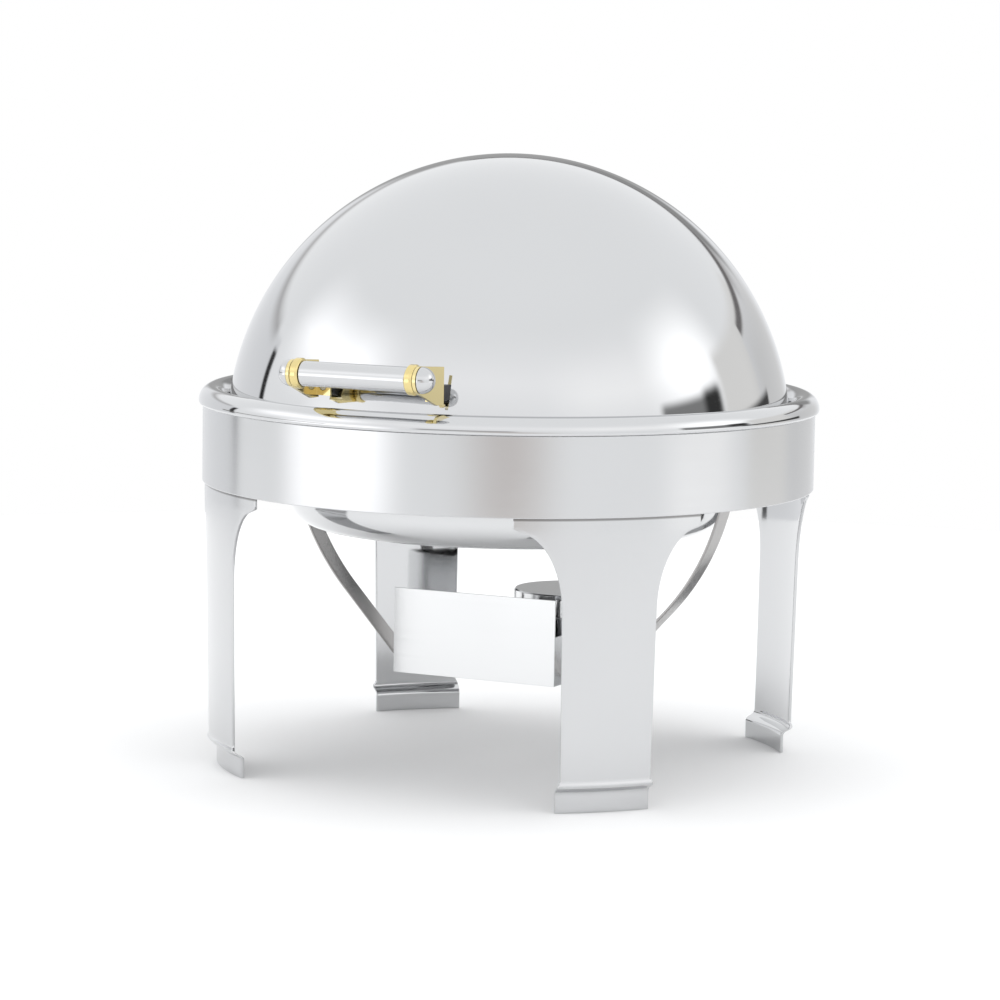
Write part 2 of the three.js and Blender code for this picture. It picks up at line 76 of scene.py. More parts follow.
# ---- Studio ----
# A white room with two soft windows at the sides, a grey back wall with a dark top edge, a dark
# bench along the front and right, and a plain pale table. Each room patch is (bearing, height,
# half width, half height, edge, colour), in degrees.
room_colour = (1.13, 1.14, 1.15)
room_patches = [
    (180, 26, 66, 8, 16, (1.28, 1.28, 1.29)),
    (-95, 25, 25, 7, 14, (1.95, 1.95, 1.97)),
    (-113, -6, 21, 12, 9, (1.9, 1.9, 1.92)),
    (132, 21, 24, 6, 14, (1.38, 1.38, 1.38)),
    (95, 23, 15, 11, 14, (2.0, 2.0, 2.0)),
    (104, -8, 14, 8, 8, (1.4, 1.4, 1.4)),
    (58, 4.5, 22, 17, 2.5, (1.0, 0.99, 0.97)),
    (-3, -1, 56, 17, 1.2, (0.94, 0.95, 0.97)),
    (36, 3, 17, 12, 8, (0.8, 0.8, 0.8)),
    (-10, 15.6, 42, 1.2, 3, (0.5, 0.49, 0.49)),
    (24, 17.4, 28, 1.3, 0.8, (0.22, 0.21, 0.21)),
    (0, 9, 9, 8, 3, (0.42, 0.42, 0.42)),
    (13, 14, 9, 3.5, 2.5, (0.34, 0.34, 0.34)),
    (-57.5, 3.5, 1.8, 10, 0.9, (0.03, 0.03, 0.03)),
    (-80, -1, 30, 1.6, 1, (0.3, 0.29, 0.28)),
    (98.5, 6, 16, 7, 2, (0.3, 0.3, 0.3)),
    (87, 9, 5, 5, 2.5, (0.05, 0.05, 0.05)),
    (-164, 4, 18, 5, 3, (0.5, 0.5, 0.5)),
    (66, 1, 20, 3, 1, (0.08, 0.08, 0.08)),
    (180, -8, 13, 9, 12, (0.74, 0.68, 0.65)),
]
room = bpy.data.worlds.new("room")
room.use_nodes = True
bpy.context.scene.world = room
room_tree = room.node_tree
room_tree.nodes.clear()


def add_node(tree, kind, values=(), **settings):
    """A node with its settings, and its input values or links given by input name or number."""
    made_node = tree.nodes.new(kind)
    for key, value in settings.items():
        setattr(made_node, key, value)
    for key, value in dict(values).items():
        if isinstance(value, bpy.types.NodeSocket):
            tree.links.new(value, made_node.inputs[key])
        else:
            made_node.inputs[key].default_value = value
    return made_node


def sum_of(tree, operation, first, second=0.0, third=0.0):
    """One step of arithmetic."""
    step = {0: first, 1: second}
    if operation in ("MULTIPLY_ADD", "WRAP", "COMPARE"):
        step[2] = third
    return add_node(tree, "ShaderNodeMath", step, operation=operation).outputs[0]


def near(tree, distance, half, edge):
    """1 where the distance is under half, falling softly to 0 across the edge."""
    fade = {"Value": distance, "From Min": half + edge, "From Max": half - edge}
    return add_node(tree, "ShaderNodeMapRange", fade, interpolation_type="SMOOTHSTEP").outputs[0]


room_direction = add_node(room_tree, "ShaderNodeTexCoord").outputs["Generated"]
room_turned = add_node(
    room_tree,
    "ShaderNodeVectorRotate",
    {"Vector": room_direction, "Angle": -view_azimuth},
    rotation_type="Z_AXIS",
).outputs[0]
room_parts = add_node(room_tree, "ShaderNodeSeparateXYZ", {0: room_turned}).outputs
room_bearing = sum_of(room_tree, "ARCTAN2", room_parts["X"], room_parts["Y"])
room_height = sum_of(room_tree, "ARCSINE", room_parts["Z"])
room_light = add_node(room_tree, "ShaderNodeRGB").outputs[0]
room_light.default_value = (*room_colour, 1)
for bearing, height, half_width, half_height, edge, colour in room_patches:
    aside = sum_of(room_tree, "SUBTRACT", room_bearing, math.radians(bearing))
    aside = sum_of(room_tree, "ABSOLUTE", aside)
    aside = sum_of(room_tree, "PINGPONG", aside, math.pi)
    above = sum_of(room_tree, "SUBTRACT", room_height, math.radians(height))
    above = sum_of(room_tree, "ABSOLUTE", above)
    across = near(room_tree, aside, math.radians(half_width), math.radians(edge))
    along = near(room_tree, above, math.radians(half_height), math.radians(edge))
    inside = sum_of(room_tree, "MULTIPLY", across, along)
    patch = add_node(room_tree, "ShaderNodeMix", {0: inside, 6: room_light}, data_type="RGBA")
    patch.inputs[7].default_value = (*colour, 1)
    room_light = patch.outputs[2]
seen = add_node(room_tree, "ShaderNodeLightPath").outputs["Is Camera Ray"]
room_seen = add_node(room_tree, "ShaderNodeMix", {0: seen, 6: room_light}, data_type="RGBA")
room_seen.inputs[7].default_value = (1, 1, 1, 1)
room_shader = add_node(room_tree, "ShaderNodeBackground", {"Color": room_seen.outputs[2]})
add_node(room_tree, "ShaderNodeOutputWorld", {"Surface": room_shader.outputs[0]})

# The table and a broad overhead light that the steel doesn't mirror, in metres.
table_radius = 1.5
table_mesh = bpy.data.meshes.new("table")
table_shape = bmesh.new()
bmesh.ops.create_circle(table_shape, cap_ends=True, radius=table_radius, segments=96)
table_shape.to_mesh(table_mesh)
table = bpy.data.objects.new("table", table_mesh)
bpy.context.scene.collection.objects.link(table)
table_finish = bpy.data.materials.new("pale_table")
table_finish.use_nodes = True
table_finish.node_tree.nodes["Principled BSDF"].inputs["Base Color"].default_value = (0.94, 0.94, 0.94, 1)
table_finish.node_tree.nodes["Principled BSDF"].inputs["Roughness"].default_value = 0.9
table_finish.node_tree.nodes["Principled BSDF"].inputs["Specular IOR Level"].default_value = 0.1
table_mesh.materials.append(table_finish)

overhead = bpy.data.lights.new("overhead", "AREA")
overhead.shape = "DISK"
overhead.size = 3.0
overhead.energy = 12
overhead_light = bpy.data.objects.new("overhead", overhead)
overhead_light.location = (0, 0, 2.6)
overhead_light.visible_glossy = False
overhead_light.visible_camera = False
bpy.context.scene.collection.objects.link(overhead_light)

# ---- Frame band ----
# A strip of stainless steel rolled into a ring and welded, with its cut edges eased and its face
# finished with a fine satin grain that runs round it.
pivot_low, pivot_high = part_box("pivot_stud_left")
pivot = Vector((0, (pivot_low.y + pivot_high.y) / 2, (pivot_low.z + pivot_high.z) / 2))
band_outside = 225
band_inside = 223.5
band_top = 22.6
band_bottom = -34.1


def eased(line, radius, steps=4, loop=True):
    """A line of 2-D points with each corner sharper than 20 degrees rounded."""
    points = [Vector(p) for p in line]
    result = []
    for i, corner in enumerate(points):
        before = points[i - 1] - corner
        after = points[(i + 1) % len(points)] - corner
        at_end = not loop and i in (0, len(points) - 1)
        turn = 0 if at_end or not before.length or not after.length else math.pi - before.angle(after)
        if turn < math.radians(20):
            result.append(corner)
            continue
        reach = min(radius * math.tan(turn / 2), 0.45 * before.length, 0.45 * after.length)
        start = corner + before.normalized() * reach
        end = corner + after.normalized() * reach
        for k in range(steps + 1):
            s = k / steps
            result.append((1 - s) ** 2 * start + 2 * s * (1 - s) * corner + s ** 2 * end)
    return result


def spun(section, sides, axis="Z", centre=(0, 0, 0)):
    """Corners and faces of a section of (radius, height) points turned round an axis. The section
    is a loop, or a line that starts and ends on the axis."""
    closed = section[0][0] > 1e-6
    corners = []
    rings = []
    for radius, height in section:
        if radius < 1e-6:
            rings.append([len(corners)] * sides)
            corners.append((0, 0, height))
            continue
        rings.append(list(range(len(corners), len(corners) + sides)))
        for k in range(sides):
            angle = 2 * math.pi * k / sides
            corners.append((radius * math.cos(angle), radius * math.sin(angle), height))
    faces = []
    for i in range(len(rings) if closed else len(rings) - 1):
        low, high = rings[i], rings[(i + 1) % len(rings)]
        for k in range(sides):
            face = [low[k], low[(k + 1) % sides], high[(k + 1) % sides], high[k]]
            faces.append(list(dict.fromkeys(face)))
    if axis == "X":
        corners = [(z, y, -x) for x, y, z in corners]
    if axis == "Y":
        corners = [(x, z, -y) for x, y, z in corners]
    return [tuple(Vector(corner) + Vector(centre)) for corner in corners], faces


def made(name, *shells):
    """One object from closed shells, in place in the row frame in metres, facing outwards."""
    corners, faces = [], []
    for shell_corners, shell_faces in shells:
        first = len(corners)
        corners += [pivot + Vector(corner) / 1000 for corner in shell_corners]
        faces += [[first + i for i in face] for face in shell_faces]
    mesh = bpy.data.meshes.new(name)
    mesh.from_pydata(corners, [], faces)
    shape = bmesh.new()
    shape.from_mesh(mesh)
    bmesh.ops.recalc_face_normals(shape, faces=shape.faces)
    shape.to_mesh(mesh)
    mesh.shade_smooth()
    piece = bpy.data.objects.new(name, mesh)
    bpy.context.scene.collection.objects.link(piece)
    return piece


def fitted(piece, finish, body, slot_name, *nodes, soften=0.0):
    """Eases a piece's edges if asked, evens its shading, and hands it over to its body."""
    if soften:
        bevel = piece.modifiers.new("eased edges", "BEVEL")
        bevel.width = soften / 1000
        bevel.segments = 2
        bevel.limit_method = "ANGLE"
        bevel.angle_limit = math.radians(32)
        bevel.use_clamp_overlap = True
    piece.modifiers.new("even shading", "WEIGHTED_NORMAL")
    if not piece.data.materials:
        piece.data.materials.append(finish)
    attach(piece, body)
    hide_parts(*nodes)


def metal(name, colour, rough, stretch, grain, waves=0.0, mottle=0.03, smudge=0.5, detail=6.0):
    """A metal with a fine grain stretched one way, slow waves in its sheet, and handling marks in
    its gloss. Rough is (least, most), stretch the grain's fineness in X, Y and Z per metre."""
    finish = bpy.data.materials.new(name)
    finish.use_nodes = True
    tree = finish.node_tree
    shader = tree.nodes["Principled BSDF"]
    shader.inputs["Metallic"].default_value = 1
    place = add_node(tree, "ShaderNodeTexCoord").outputs["Object"]
    along = add_node(tree, "ShaderNodeMapping", {"Vector": place, "Scale": stretch}).outputs[0]
    lines = add_node(
        tree, "ShaderNodeTexNoise", {"Vector": along, "Scale": 1, "Detail": detail, "Roughness": 0.6}
    ).outputs[0]
    marks = add_node(
        tree, "ShaderNodeTexNoise", {"Vector": place, "Scale": 22, "Detail": 7, "Roughness": 0.62}
    ).outputs[0]
    slow = add_node(tree, "ShaderNodeTexNoise", {"Vector": place, "Scale": 9, "Detail": 1.5}).outputs[0]
    tone = {"Value": slow, "From Min": 0.3, "From Max": 0.7, "To Min": 1 - mottle, "To Max": 1}
    shade = add_node(tree, "ShaderNodeMapRange", tone).outputs[0]
    paint = add_node(tree, "ShaderNodeMix", {0: shade}, data_type="RGBA")
    paint.inputs[6].default_value = (0, 0, 0, 1)
    paint.inputs[7].default_value = (*colour, 1)
    tree.links.new(paint.outputs[2], shader.inputs["Base Color"])
    wear = sum_of(tree, "MULTIPLY", marks, smudge)
    wear = sum_of(tree, "MULTIPLY_ADD", lines, 1 - smudge, wear)
    gloss = {"Value": wear, "From Min": 0.34, "From Max": 0.66, "To Min": rough[0], "To Max": rough[1]}
    tree.links.new(add_node(tree, "ShaderNodeMapRange", gloss).outputs[0], shader.inputs["Roughness"])
    ridges = add_node(tree, "ShaderNodeBump", {"Height": lines, "Strength": 1, "Distance": grain})
    if waves:
        ripple = add_node(tree, "ShaderNodeBump", {"Height": slow, "Strength": 1, "Distance": waves})
        tree.links.new(ripple.outputs[0], ridges.inputs["Normal"])
    tree.links.new(ridges.outputs[0], shader.inputs["Normal"])
    return finish


steel_colour = (0.615, 0.62, 0.628)
band_satin = metal("band_satin_steel", steel_colour, (0.155, 0.2), (7, 7, 900), 1e-6, 1.5e-4, 0.02)
band_section = [(band_inside, band_bottom), (band_outside, band_bottom)]
band_section += [(band_outside, band_top), (band_inside, band_top)]
band = made("band", spun(eased(band_section, 0.6), 192))
fitted(band, band_satin, "frame", "satin_steel", "frame_band")

# ---- Rim bead ----
# A half-round tube of polished stainless steel, rolled to a ring and seated on top of the band,
# with a flat foot that turns in behind it.
bead_inside = 208.5
bead_outside = 228
bead_top = 35.5
bead_wall = 1.6
bead_foot = 222.5
bead_base = band_top + 0.3
bead_spring = bead_base + bead_wall
bead_middle = (bead_inside + bead_outside) / 2
bead_half = (bead_outside - bead_inside) / 2


def bead_arc(half, rise, steps, start, end):
    """Points over the half-round from one angle to another."""
    angles = [start + (end - start) * k / steps for k in range(steps + 1)]
    return [(bead_middle + half * math.cos(a), bead_spring + rise * math.sin(a)) for a in angles]


bead_rise = bead_top - bead_spring
bead_line = [(bead_foot, bead_base), (bead_outside - 0.9, bead_base), (bead_outside - 0.3, bead_base + 0.4)]
bead_line += bead_arc(bead_half, bead_rise, 26, 0, math.pi)
bead_line += bead_arc(bead_half - bead_wall, bead_rise - bead_wall, 18, math.pi, 0)
bead_line += [(bead_foot, bead_spring)]
bead_mirror = metal("bead_mirror_steel", steel_colour, (0.035, 0.08), (5, 5, 500), 8e-7, 1.2e-4, 0.02)
bead = made("bead", spun(bead_line, 224))
fitted(bead, bead_mirror, "frame", "polished_steel", "rim_bead")

# ---- Legs ----
# Four plates of satin stainless steel rolled to the band's curve, flared where they bolt inside it
# and joggled in above the foot, with a mill-bright inside and a painted shade line in the seam under the
# band.
# One leg is modelled, and a node tree sets it, and later the bolts and rivets, at each place.
leg_wall = 2.5
leg_foot = -240.7
leg_azimuths = (-135, -45, 45, 135)
# Each row of the leg's outline is its height, its outer radius and its half width in degrees.
leg_outline = [
    (-240.7, 213.8, 9.35), (-227, 213.8, 9.35), (-225, 215, 9.35), (-222.6, 220.2, 9.3),
    (-220.6, 221.1, 9.2), (-218, 220.2, 8.7), (-160, 221.3, 8.8),
]
for k in range(25):
    lean = math.radians(90) * k / 24
    rise = math.sin(lean)
    leg_outline.append((-99.1 + 56 * rise, 223.2 - 0.9 * (1 - rise), 18 - 9 * math.cos(lean)))
leg_outline.append((16, 223.2, 18))


def leg_at(height, spread=0.7):
    """Outer radius and half width in degrees at a height, with the bends a little rounded."""
    found = []
    for k in range(-3, 4):
        z = min(max(height + spread * k / 3, leg_outline[0][0]), leg_outline[-1][0])
        for low, high in zip(leg_outline, leg_outline[1:]):
            if z <= high[0]:
                share = (z - low[0]) / (high[0] - low[0])
                found.append((low[1] + (high[1] - low[1]) * share, low[2] + (high[2] - low[2]) * share))
                break
    return sum(r for r, _ in found) / len(found), sum(h for _, h in found) / len(found)


def leg_loop(height, inset):
    """The plate's section at a height, as a loop with rounded edges."""
    radius, half = leg_at(height)
    reach = math.radians(half) * radius - inset
    inner, outer = inset, leg_wall - inset
    columns = 18
    line = [(-reach + 2 * reach * k / columns, inner) for k in range(columns + 1)]
    line += [(reach - 2 * reach * k / columns, outer) for k in range(columns + 1)]
    loop = []
    for across, depth in eased(line, 0.7, 3):
        angle = across / radius
        loop.append(((radius - depth) * math.cos(angle), (radius - depth) * math.sin(angle), height))
    return loop


def lofted(loops):
    """A closed shell through equal loops, capped at both ends."""
    count = len(loops[0])
    corners = [corner for loop in loops for corner in loop]
    faces = [list(range(count)), [len(corners) - 1 - k for k in range(count)]]
    for i in range(len(loops) - 1):
        for k in range(count):
            after = (k + 1) % count
            faces.append([i * count + k, i * count + after, (i + 1) * count + after, (i + 1) * count + k])
    return corners, faces


leg_heights = [leg_foot + 0.4 + 0.8 * k for k in range(32)]
leg_heights += [-214 + 9 * k for k in range(12)]
leg_heights += [-112 + 2.2 * k for k in range(58)]
leg_heights = [z for z in leg_heights if z < 15]
leg_loops = [leg_loop(leg_foot, 0.45), leg_loop(leg_foot + 0.14, 0.14)]
leg_loops += [leg_loop(z, 0) for z in leg_heights]
leg_loops += [leg_loop(15.5, 0), leg_loop(15.86, 0.14), leg_loop(16, 0.45)]
leg_satin = metal("leg_satin_steel", steel_colour, (0.15, 0.2), (700, 700, 9), 1e-6, 1.5e-4, 0.02)
leg_tree = leg_satin.node_tree
leg_shader = leg_tree.nodes["Principled BSDF"]
leg_place = add_node(leg_tree, "ShaderNodeTexCoord").outputs["Object"]
leg_height = add_node(leg_tree, "ShaderNodeSeparateXYZ", {0: leg_place}).outputs["Z"]
# Painted shade: the leg's base colour darkens towards near black within about a millimetre of the band's
# lower edge, where the band would shade it.
seam_height = pivot.z + (band_bottom - 0.7) / 1000
seam_distance = sum_of(leg_tree, "ABSOLUTE", sum_of(leg_tree, "SUBTRACT", leg_height, seam_height))
painted_seam_shade = near(leg_tree, seam_distance, 0.001, 0.0007)
painted_seam_shade = sum_of(leg_tree, "MULTIPLY", painted_seam_shade, 0.72)
leg_paint = add_node(leg_tree, "ShaderNodeMix", {0: painted_seam_shade}, data_type="RGBA")
leg_tree.links.new(leg_shader.inputs["Base Color"].links[0].from_socket, leg_paint.inputs[6])
leg_paint.inputs[7].default_value = (0.12, 0.115, 0.11, 1)
leg_tree.links.new(leg_paint.outputs[2], leg_shader.inputs["Base Color"])
leg_facing = add_node(leg_tree, "ShaderNodeTexCoord").outputs["Normal"]
leg_outward = add_node(
    leg_tree, "ShaderNodeVectorMath", {0: leg_place, 1: (0, pivot.y, 0)}, operation="SUBTRACT"
).outputs[0]
leg_outward = add_node(
    leg_tree, "ShaderNodeVectorMath", {0: leg_outward, 1: (1, 1, 0)}, operation="MULTIPLY"
).outputs[0]
leg_side = add_node(
    leg_tree, "ShaderNodeVectorMath", {0: leg_facing, 1: leg_outward}, operation="DOT_PRODUCT"
).outputs["Value"]
leg_gloss = {"Value": leg_side, "From Min": -0.1, "From Max": 0.1, "To Min": 0.25, "To Max": 1}
leg_inside = add_node(leg_tree, "ShaderNodeMapRange", leg_gloss).outputs[0]
leg_rough = leg_shader.inputs["Roughness"].links[0].from_socket
leg_rough = sum_of(leg_tree, "MULTIPLY", leg_rough, leg_inside)
leg_tree.links.new(leg_rough, leg_shader.inputs["Roughness"])
set_tree = bpy.data.node_groups.new("one part set in its places", "GeometryNodeTree")
set_sockets = set_tree.interface
set_sockets.new_socket("Places", in_out="INPUT", socket_type="NodeSocketGeometry")
set_sockets.new_socket("Part", in_out="INPUT", socket_type="NodeSocketObject")
set_sockets.new_socket("Size", in_out="INPUT", socket_type="NodeSocketFloat")
set_sockets.new_socket("Finish", in_out="INPUT", socket_type="NodeSocketMaterial")
set_sockets.new_socket("Parts", in_out="OUTPUT", socket_type="NodeSocketGeometry")
set_given = add_node(set_tree, "NodeGroupInput").outputs
set_shape = add_node(set_tree, "GeometryNodeObjectInfo", {"Object": set_given["Part"]})
set_turn = add_node(
    set_tree, "GeometryNodeInputNamedAttribute", {"Name": "turn"}, data_type="FLOAT_VECTOR"
)
set_facing = add_node(set_tree, "FunctionNodeEulerToRotation", {0: set_turn.outputs[0]})
set_points = add_node(set_tree, "GeometryNodeMeshToPoints", {"Mesh": set_given["Places"]})
set_at_points = add_node(set_tree, "GeometryNodeInstanceOnPoints", {
    "Points": set_points.outputs[0],
    "Instance": set_shape.outputs["Geometry"],
    "Rotation": set_facing.outputs[0],
    "Scale": set_given["Size"],
})
set_real = add_node(set_tree, "GeometryNodeRealizeInstances", {0: set_at_points.outputs[0]})
set_finished = add_node(set_tree, "GeometryNodeSetMaterial", {
    "Geometry": set_real.outputs[0],
    "Material": set_given["Finish"],
})
add_node(set_tree, "NodeGroupOutput", {0: set_finished.outputs[0]})


def set_in_places(name, shells, places, finish):
    """A plain mesh of one part, drawn about the pivot axis along X, set at (x, y, z, turn) places."""
    one = made(name + "_one", *shells)
    for vertex in one.data.vertices:
        vertex.co -= pivot
    spots = bpy.data.meshes.new(name)
    spots.from_pydata([pivot + Vector(place[:3]) / 1000 for place in places], [], [])
    turns = spots.attributes.new("turn", "FLOAT_VECTOR", "POINT")
    for k, place in enumerate(places):
        turns.data[k].vector = place[3]
    holder = bpy.data.objects.new(name, spots)
    bpy.context.scene.collection.objects.link(holder)
    setting = holder.modifiers.new("places", "NODES")
    setting.node_group = set_tree
    sockets = {s.name: s.identifier for s in set_tree.interface.items_tree if s.in_out == "INPUT"}
    setting[sockets["Part"]] = one
    setting[sockets["Size"]] = 1.0
    setting[sockets["Finish"]] = finish
    graph = bpy.context.evaluated_depsgraph_get()
    plain = bpy.data.meshes.new_from_object(holder.evaluated_get(graph), depsgraph=graph)
    holder.modifiers.clear()
    holder.data = plain
    plain.name = name
    plain.shade_smooth()
    bpy.data.objects.remove(one)
    return holder


leg_places = [(0, 0, 0, (0, 0, math.radians(azimuth))) for azimuth in leg_azimuths]
legs = set_in_places("legs", [lofted(leg_loops)], leg_places, leg_satin)
leg_nodes = ["leg_front_left", "leg_front_right", "leg_rear_right", "leg_rear_left"]
fitted(legs, leg_satin, "frame", "satin_steel", *leg_nodes)

# ---- Leg bolts ----
# Two zinc-plated hex bolts hold each leg inside the band, set in place by the legs' node tree and
# turned to face along each place's own direction.
zinc_colour = (0.54, 0.55, 0.57)
zinc = metal("zinc_plate", zinc_colour, (0.26, 0.42), (260, 260, 260), 6e-6, 0, 0.1, 0.7)


def hex_head(radius, near_x, far_x, chamfer=0.7):
    """A hexagon head along X with its outer corners turned off at the near end."""
    toward = 1 if far_x > near_x else -1
    section = [(0, near_x), (radius - chamfer, near_x), (radius, near_x + toward * chamfer * 0.6)]
    section += [(radius, far_x), (0, far_x)]
    return spun(section, 6, "X")


leg_bolt_height = -6
leg_bolt_lean = 10
leg_bolt_places = []
for azimuth in leg_azimuths:
    for lean in (-leg_bolt_lean, leg_bolt_lean):
        leg_bolt_places.append((0, 0, leg_bolt_height, (0, 0, math.radians(azimuth + lean))))
shank_radius = 3
shank_line = [(0, 218.6), (shank_radius, 218.6), (shank_radius, 223.2), (0, 223.2)]
leg_bolt_shells = [hex_head(5.6, 216.7, 220.4), spun(eased(shank_line, 0.4, 3, False), 20, "X")]
leg_bolts = set_in_places("leg_bolts", leg_bolt_shells, leg_bolt_places, zinc)
leg_bolt_nodes = [f"leg_bolt_{corner[4:]}_{letter}" for corner in leg_nodes for letter in "ab"]
fitted(leg_bolts, zinc, "frame", "zinc_hardware", *leg_bolt_nodes, soften=0.2)

# ---- Side pivots ----
# Each pivot is a machined block inside the band, a stud with a washer, a lug on the cradle ring
# and a nut. The lid's ear turns on the stud, and a short pin in the block stops it at each end.


def dressed(name, body, slot_name, finish, nodes, soften=0.3):
    """A cleaned copy of some CAD solids with their machined or cut edges eased."""
    shape = bmesh.new()
    for node_name in nodes:
        shape.from_mesh(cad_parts[node_name].data)
    bmesh.ops.remove_doubles(shape, verts=shape.verts, dist=2e-6)
    bmesh.ops.dissolve_limit(
        shape, angle_limit=math.radians(1), verts=shape.verts, edges=shape.edges
    )
    mesh = bpy.data.meshes.new(name)
    shape.to_mesh(mesh)
    mesh.shade_smooth()
    piece = bpy.data.objects.new(name, mesh)
    bpy.context.scene.collection.objects.link(piece)
    fitted(piece, finish, body, slot_name, *nodes, soften=soften)
    return piece


def both(stem, tail=""):
    """The left and right node names of a pair."""
    return [f"{stem}_left{tail}", f"{stem}_right{tail}"]


machined = metal("machined_zinc", zinc_colour, (0.2, 0.34), (300, 300, 40), 5e-6, 0, 0.08, 0.4)
bracket_satin = metal("folded_satin_steel", steel_colour, (0.22, 0.34), (40, 500, 500), 4e-6, 1e-4)
nylon = bpy.data.materials.new("natural_nylon")


def moulded(finish, colour, darker, rough, texture, scale):
    """A moulded plastic with a faint skin texture and slow changes of tone."""
    finish.use_nodes = True
    tree = finish.node_tree
    shader = tree.nodes["Principled BSDF"]
    place = add_node(tree, "ShaderNodeTexCoord").outputs["Object"]
    skin = add_node(tree, "ShaderNodeTexNoise", {"Vector": place, "Scale": scale, "Detail": 3}).outputs[0]
    slow = add_node(tree, "ShaderNodeTexNoise", {"Vector": place, "Scale": 60, "Detail": 4}).outputs[0]
    paint = add_node(tree, "ShaderNodeMix", {0: slow}, data_type="RGBA")
    paint.inputs[6].default_value = (*darker, 1)
    paint.inputs[7].default_value = (*colour, 1)
    tree.links.new(paint.outputs[2], shader.inputs["Base Color"])
    gloss = {"Value": slow, "From Min": 0.3, "From Max": 0.7, "To Min": rough[0], "To Max": rough[1]}
    tree.links.new(add_node(tree, "ShaderNodeMapRange", gloss).outputs[0], shader.inputs["Roughness"])
    bump = add_node(tree, "ShaderNodeBump", {"Height": skin, "Strength": 1, "Distance": texture})
    tree.links.new(bump.outputs[0], shader.inputs["Normal"])


moulded(nylon, (0.86, 0.85, 0.8), (0.78, 0.76, 0.7), (0.42, 0.6), 1.2e-5, 1800)
dressed("pivot_blocks", "frame", "zinc_hardware", machined, both("pivot_block"), 0.5)
dressed("pivot_studs", "frame", "zinc_hardware", zinc, both("pivot_stud"), 0.4)
dressed("pivot_nuts", "frame", "zinc_hardware", zinc, both("pivot_nut"), 0.4)
dressed("lid_stop_pins", "frame", "zinc_hardware", zinc, both("lid_stop_pin"), 0.3)
dressed("pivot_washers", "frame", "nylon", nylon, both("pivot_washer"), 0.4)
dressed("pivot_lugs", "frame", "satin_steel", bracket_satin, both("pivot_lug"), 0.4)
dressed("lid_ears", "lid", "satin_steel", bracket_satin, both("lid_ear"), 0.3)
dressed("lid_bushes", "lid", "nylon", nylon, both("lid_bush"), 0.25)

# ---- Lid ----
# A hemisphere spun from stainless sheet and polished to a mirror, with a rolled-true rim edge and
# a notch over each stud. Faint spinning rings and slow waves stay in the sheet.
lid_radius = 207.3
lid_wall = 1.1
lid_rows = 72
lid_arc = [math.radians(90) * k / lid_rows for k in range(lid_rows + 1)]
lid_hollow = lid_radius - lid_wall
lid_line = [(lid_hollow * math.cos(a), lid_hollow * math.sin(a)) for a in reversed(lid_arc)]
lid_line += [(lid_radius * math.cos(a), lid_radius * math.sin(a)) for a in lid_arc]
lid_line[0] = (0, lid_hollow)
lid_line[-1] = (0, lid_radius)
lid_mirror = metal("lid_mirror_steel", steel_colour, (0.03, 0.075), (4, 4, 420), 5e-7, 1.5e-4, 0.02)
lid = made("lid_shell", spun(eased(lid_line, 0.45, 4, False), 224))
notch_radius = 11
notch_reach = 230
notch_line = [(0, -notch_reach), (notch_radius, -notch_reach)]
notch_line += [(notch_radius, notch_reach), (0, notch_reach)]
notch_tool = made("notch_tool", spun(notch_line, 64, "X"))
notch_cut = lid.modifiers.new("notches", "BOOLEAN")
notch_cut.operation = "DIFFERENCE"
notch_cut.solver = "EXACT"
notch_cut.object = notch_tool
lid_graph = bpy.context.evaluated_depsgraph_get()
lid_mesh = bpy.data.meshes.new_from_object(lid.evaluated_get(lid_graph), depsgraph=lid_graph)
lid.modifiers.clear()
lid.data = lid_mesh
lid_mesh.shade_smooth()
bpy.data.objects.remove(notch_tool)
fitted(lid, lid_mirror, "lid", "polished_steel", "lid_dome")

# ---- Lid rivets ----
# Two zinc-plated rivets hold each ear inside the lid, headed over on both faces of the metal.
# One rivet is modelled, and the legs' node tree sets it at each place.
rivet_out = 16
rivet_lean = 35
rivet_head = 3.4
rivet_shank = 2
rivet_places = []
for side in (0, math.pi):
    for lean in (-rivet_lean, rivet_lean):
        y = rivet_out * math.sin(math.radians(lean))
        z = rivet_out * math.cos(math.radians(lean))
        rivet_places.append((0, y, z, (0, 0, side)))


def round_head(radius, base, top, steps=6):
    """A low domed head along X from its flat base to its top."""
    line = [(0, base), (radius, base)]
    for k in range(1, steps):
        a = math.radians(90) * k / steps
        line.append((radius * math.cos(a) ** 0.8, base + (top - base) * math.sin(a)))
    return line + [(0, top)]


rivet_shells = [
    spun(round_head(rivet_head, 207.1, 208.5), 20, "X"),
    spun(round_head(rivet_head, 201.6, 200.5), 20, "X"),
    spun([(0, 201.3), (rivet_shank, 201.3), (rivet_shank, 207.4), (0, 207.4)], 16, "X"),
]
rivets = set_in_places("lid_rivets", rivet_shells, rivet_places, zinc)
rivet_nodes = both("lid_rivet", "_a") + both("lid_rivet", "_b")
fitted(rivets, zinc, "lid", "zinc_hardware", *rivet_nodes)

# ---- Handle ----
# A polished steel grip tube on a tie rod between two turned brass collars, brass brackets folded to
# the lid, domed cap nuts outside them, and black moulded spacers against the lid.
grip_y = -238.5
grip_z = 60.5
grip_radius = 8.75
grip_hollow = 6.6
grip_half = 40.7
rod_hole = 3.8
collar_radius = 10.7
collar_face = 9.6
collar_end = 47.2
cap_radius = 9.3
cap_in = 50.3
cap_depth = 5.3
grip_centre = (0, grip_y, grip_z)


def other_side(shell):
    """The mirror image of a right-hand shell."""
    return [(-x, y, z) for x, y, z in shell[0]], shell[1]


